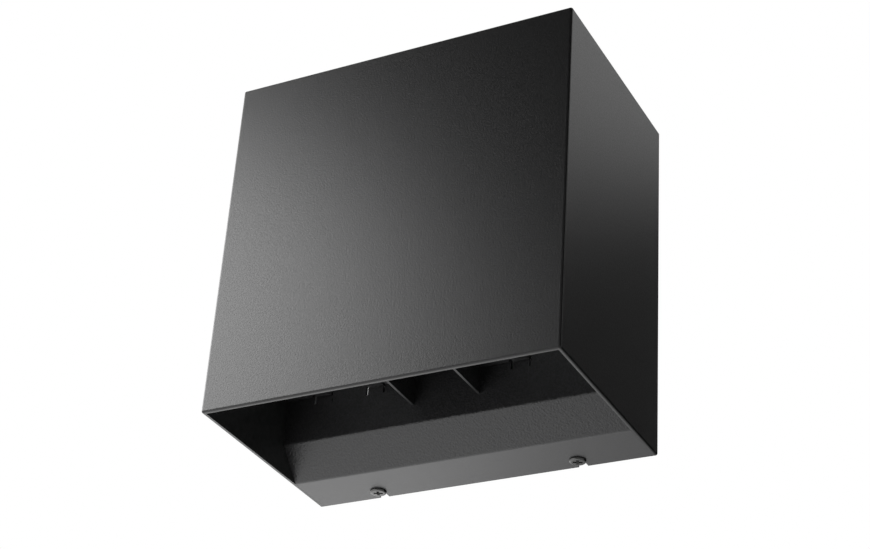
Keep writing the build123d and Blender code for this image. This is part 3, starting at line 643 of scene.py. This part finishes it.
def lead_route(lamp_side, pole_side):
    """Points of a lead from its lampholder over the shelf, through the grommet and down to its pole."""
    holder_low, holder_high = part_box("left_lampholder" if lamp_side < 0 else "right_lampholder")
    grommet_low, grommet_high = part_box("lead_grommet")
    bars_low, bars_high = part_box("terminal_barrels")
    shelf_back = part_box("lampholder_shelf")[1].y
    near = lamp_side == pole_side
    lamp_x = (holder_low.x + holder_high.x) / 2
    exit_y = (holder_low.y + holder_high.y + (1 if near else -1) * LEAD_EXIT_PITCH) / 2
    run_y = shelf_back - (LEAD_NEAR_RUN if near else LEAD_FAR_RUN)
    run_z = (grommet_low.z + grommet_high.z + lamp_side * LEAD_PITCH) / 2
    bore_x = pole_side * LEAD_PITCH / 2
    bar_radius = (bars_high.y - bars_low.y) / 2
    pole_x = pole_side * (bars_high.x - bar_radius)
    drop_y = (bars_low.y + bars_high.y + lamp_side * LEAD_PITCH) / 2
    return [
        (lamp_x, exit_y, holder_high.z - LEAD_SOCKET),
        (lamp_x, exit_y, holder_high.z + LEAD_STRAIGHT),
        (lamp_x, exit_y, run_z),
        (bore_x, run_y, run_z),
        (bore_x, drop_y, run_z),
        (pole_x, drop_y, bars_high.z + LEAD_DROP),
        (pole_x, drop_y, bars_high.z),
    ]


def earth_route():
    """Points of the earth lead from the middle pole to the crimp barrel of its ring."""
    bars_low, bars_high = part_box("terminal_barrels")
    ring_low, ring_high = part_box("earth_ring")
    bar_y = (bars_low.y + bars_high.y) / 2
    barrel_y = (ring_low.y + ring_high.y) / 2
    earth_z = (ring_low.z + ring_high.z) / 2
    return [
        (0, bar_y, bars_low.z),
        (0, bar_y, earth_z),
        (ring_low.x - EARTH_ENTRY_RUN, barrel_y, earth_z),
        (ring_low.x, barrel_y, earth_z),
    ]


def add_leads(node, routes, slot):
    """Round leads on smooth curves in place of a node's flat-sided ones."""
    curve = bpy.data.curves.new(node, "CURVE")
    curve.dimensions = "3D"
    curve.bevel_depth = LEAD_RADIUS
    curve.bevel_resolution = LEAD_ROUNDNESS
    curve.use_fill_caps = True
    for route in routes:
        spline = curve.splines.new("NURBS")
        spline.points.add(len(route) - 1)
        for point, place in zip(spline.points, route):
            point.co = (*place, 1.0)
        spline.order_u = LEAD_CURVE_ORDER
        spline.use_endpoint_u = True
    guide = link(node, curve)
    shown = guide.evaluated_get(bpy.context.evaluated_depsgraph_get())
    mesh = bpy.data.meshes.new_from_object(shown)
    bpy.data.objects.remove(guide)
    add_piece(f"{node}_round", mesh, node, "housing", slot)


def add_details():
    """Pieces with more detail in place of the CAD's leads, screws and lenses."""
    add_leads("live_leads", [lead_route(side, -1) for side in (-1, 1)], "lead_brown")
    add_leads("neutral_leads", [lead_route(side, 1) for side in (-1, 1)], "lead_blue")
    add_leads("earth_lead", [earth_route()], "lead_green")
    for node in ("tray_screws", "shelf_screws", "terminal_fixing_screws"):
        add_screws(node, "housing", "zinc_steel", SMALL_SCREW, from_behind=True)
    for node in ("baffle_screws", "holder_screws"):
        add_screws(node, "housing", "zinc_steel", SMALL_SCREW)
    add_screws("earth_screw", "housing", "brass", EARTH_SCREW, from_behind=True)
    for side in ("left", "right"):
        add_screws(f"{side}_fixing_screw", f"{side}_screw", "stainless", FIXING_SCREW)
        add_lens(side)


def outward(azimuth, elevation):
    """Direction away from the light, angles in degrees."""
    turn, rise = math.radians(azimuth), math.radians(elevation)
    return Vector((math.sin(turn) * math.cos(rise), -math.cos(turn) * math.cos(rise), math.sin(rise)))


def add_camera():
    back = outward(CAMERA_AZIMUTH, CAMERA_ELEVATION)
    right = (-back).cross(UP).normalized()
    roll = Matrix.Rotation(math.radians(CAMERA_ROLL), 3, back)
    axes = Matrix((roll @ right, roll @ right.cross(-back), back)).transposed()
    data = bpy.data.cameras.new("camera")
    data.sensor_width = SENSOR_WIDTH
    data.lens = FOCAL_PIXELS * SENSOR_WIDTH / IMAGE_WIDTH
    camera = link("camera", data)
    camera.matrix_world = Matrix.Translation(CAMERA_PLACE) @ axes.to_4x4()
    bpy.context.scene.camera = camera


def aim(thing, azimuth, elevation, distance):
    """Place a lamp or card about the light and face it, out of the camera's sight."""
    out = outward(azimuth, elevation)
    facing = (-out).to_track_quat("-Z", "Y").to_matrix().to_4x4()
    thing.matrix_world = Matrix.Translation(MIDDLE + distance * out) @ facing
    thing.visible_camera = False


def add_softbox(name, place, size, radiance):
    data = bpy.data.lights.new(name, "AREA")
    data.shape = "RECTANGLE"
    data.size, data.size_y = size
    data.energy = radiance * math.pi * size[0] * size[1]
    aim(link(name, data), *place)


def plane_mesh(name, width, height, look):
    mesh = bpy.data.meshes.new(name)
    corners = [(-1, -1), (1, -1), (1, 1), (-1, 1)]
    mesh.from_pydata([(x * width / 2, y * height / 2, 0) for x, y in corners], [], [(0, 1, 2, 3)])
    mesh.materials.append(look.material)
    return mesh


def add_card(name, place, size, look):
    """Dark card that shades the reflections."""
    card = link(name, plane_mesh(name, *size, look))
    aim(card, *place)


def floor_paper():
    """White paper that glows where it is seen or mirrored."""
    shader = Shader("floor_paper")
    mottle = shader.noise(FLOOR_MOTTLE, detail=3.0)
    shader.set(Base_Color=shader.shades(mottle, FLOOR_GREY, spread=0.03), Roughness=0.9)
    shader.set(Emission_Color=WHITE, Emission_Strength=shader.by_ray(seen=FLOOR_GLOW, light=0.0))
    return shader


def add_floor():
    floor = link("floor", plane_mesh("floor", FLOOR_WIDTH, FLOOR_WIDTH, floor_paper()))
    floor.location = (0, 0, cad_low.z - FLOOR_DROP)


def add_world():
    """White to the eye, in reflections and through glass; a softer grey as ambient light."""
    world = bpy.data.worlds.new("studio")
    bpy.context.scene.world = world
    world.use_nodes = True
    world.cycles.sampling_method = "NONE"
    nodes = Nodes(world.node_tree)
    background = nodes.tree.nodes["Background"]
    nodes.plug(background.inputs["Color"], WHITE)
    nodes.plug(background.inputs["Strength"], nodes.by_ray(seen=BACKDROP, light=AMBIENT))


def add_studio():
    add_floor()
    add_world()
    add_softbox("key", KEY_PLACE, KEY_SIZE, KEY_RADIANCE)
    add_softbox("fill", FILL_PLACE, FILL_SIZE, FILL_RADIANCE)
    velvet = moulded("velvet", VELVET_BLACK, roughness=0.9, spread=0.2)
    add_card("front_card", FRONT_CARD_PLACE, FRONT_CARD_SIZE, velvet)
    add_card("side_card", SIDE_CARD_PLACE, SIDE_CARD_SIZE, velvet)
    add_card("edge_card", EDGE_CARD_PLACE, EDGE_CARD_SIZE, velvet)


dress_nodes()
add_details()
add_camera()
add_studio()
bpy.context.scene.view_settings.view_transform = "Standard"
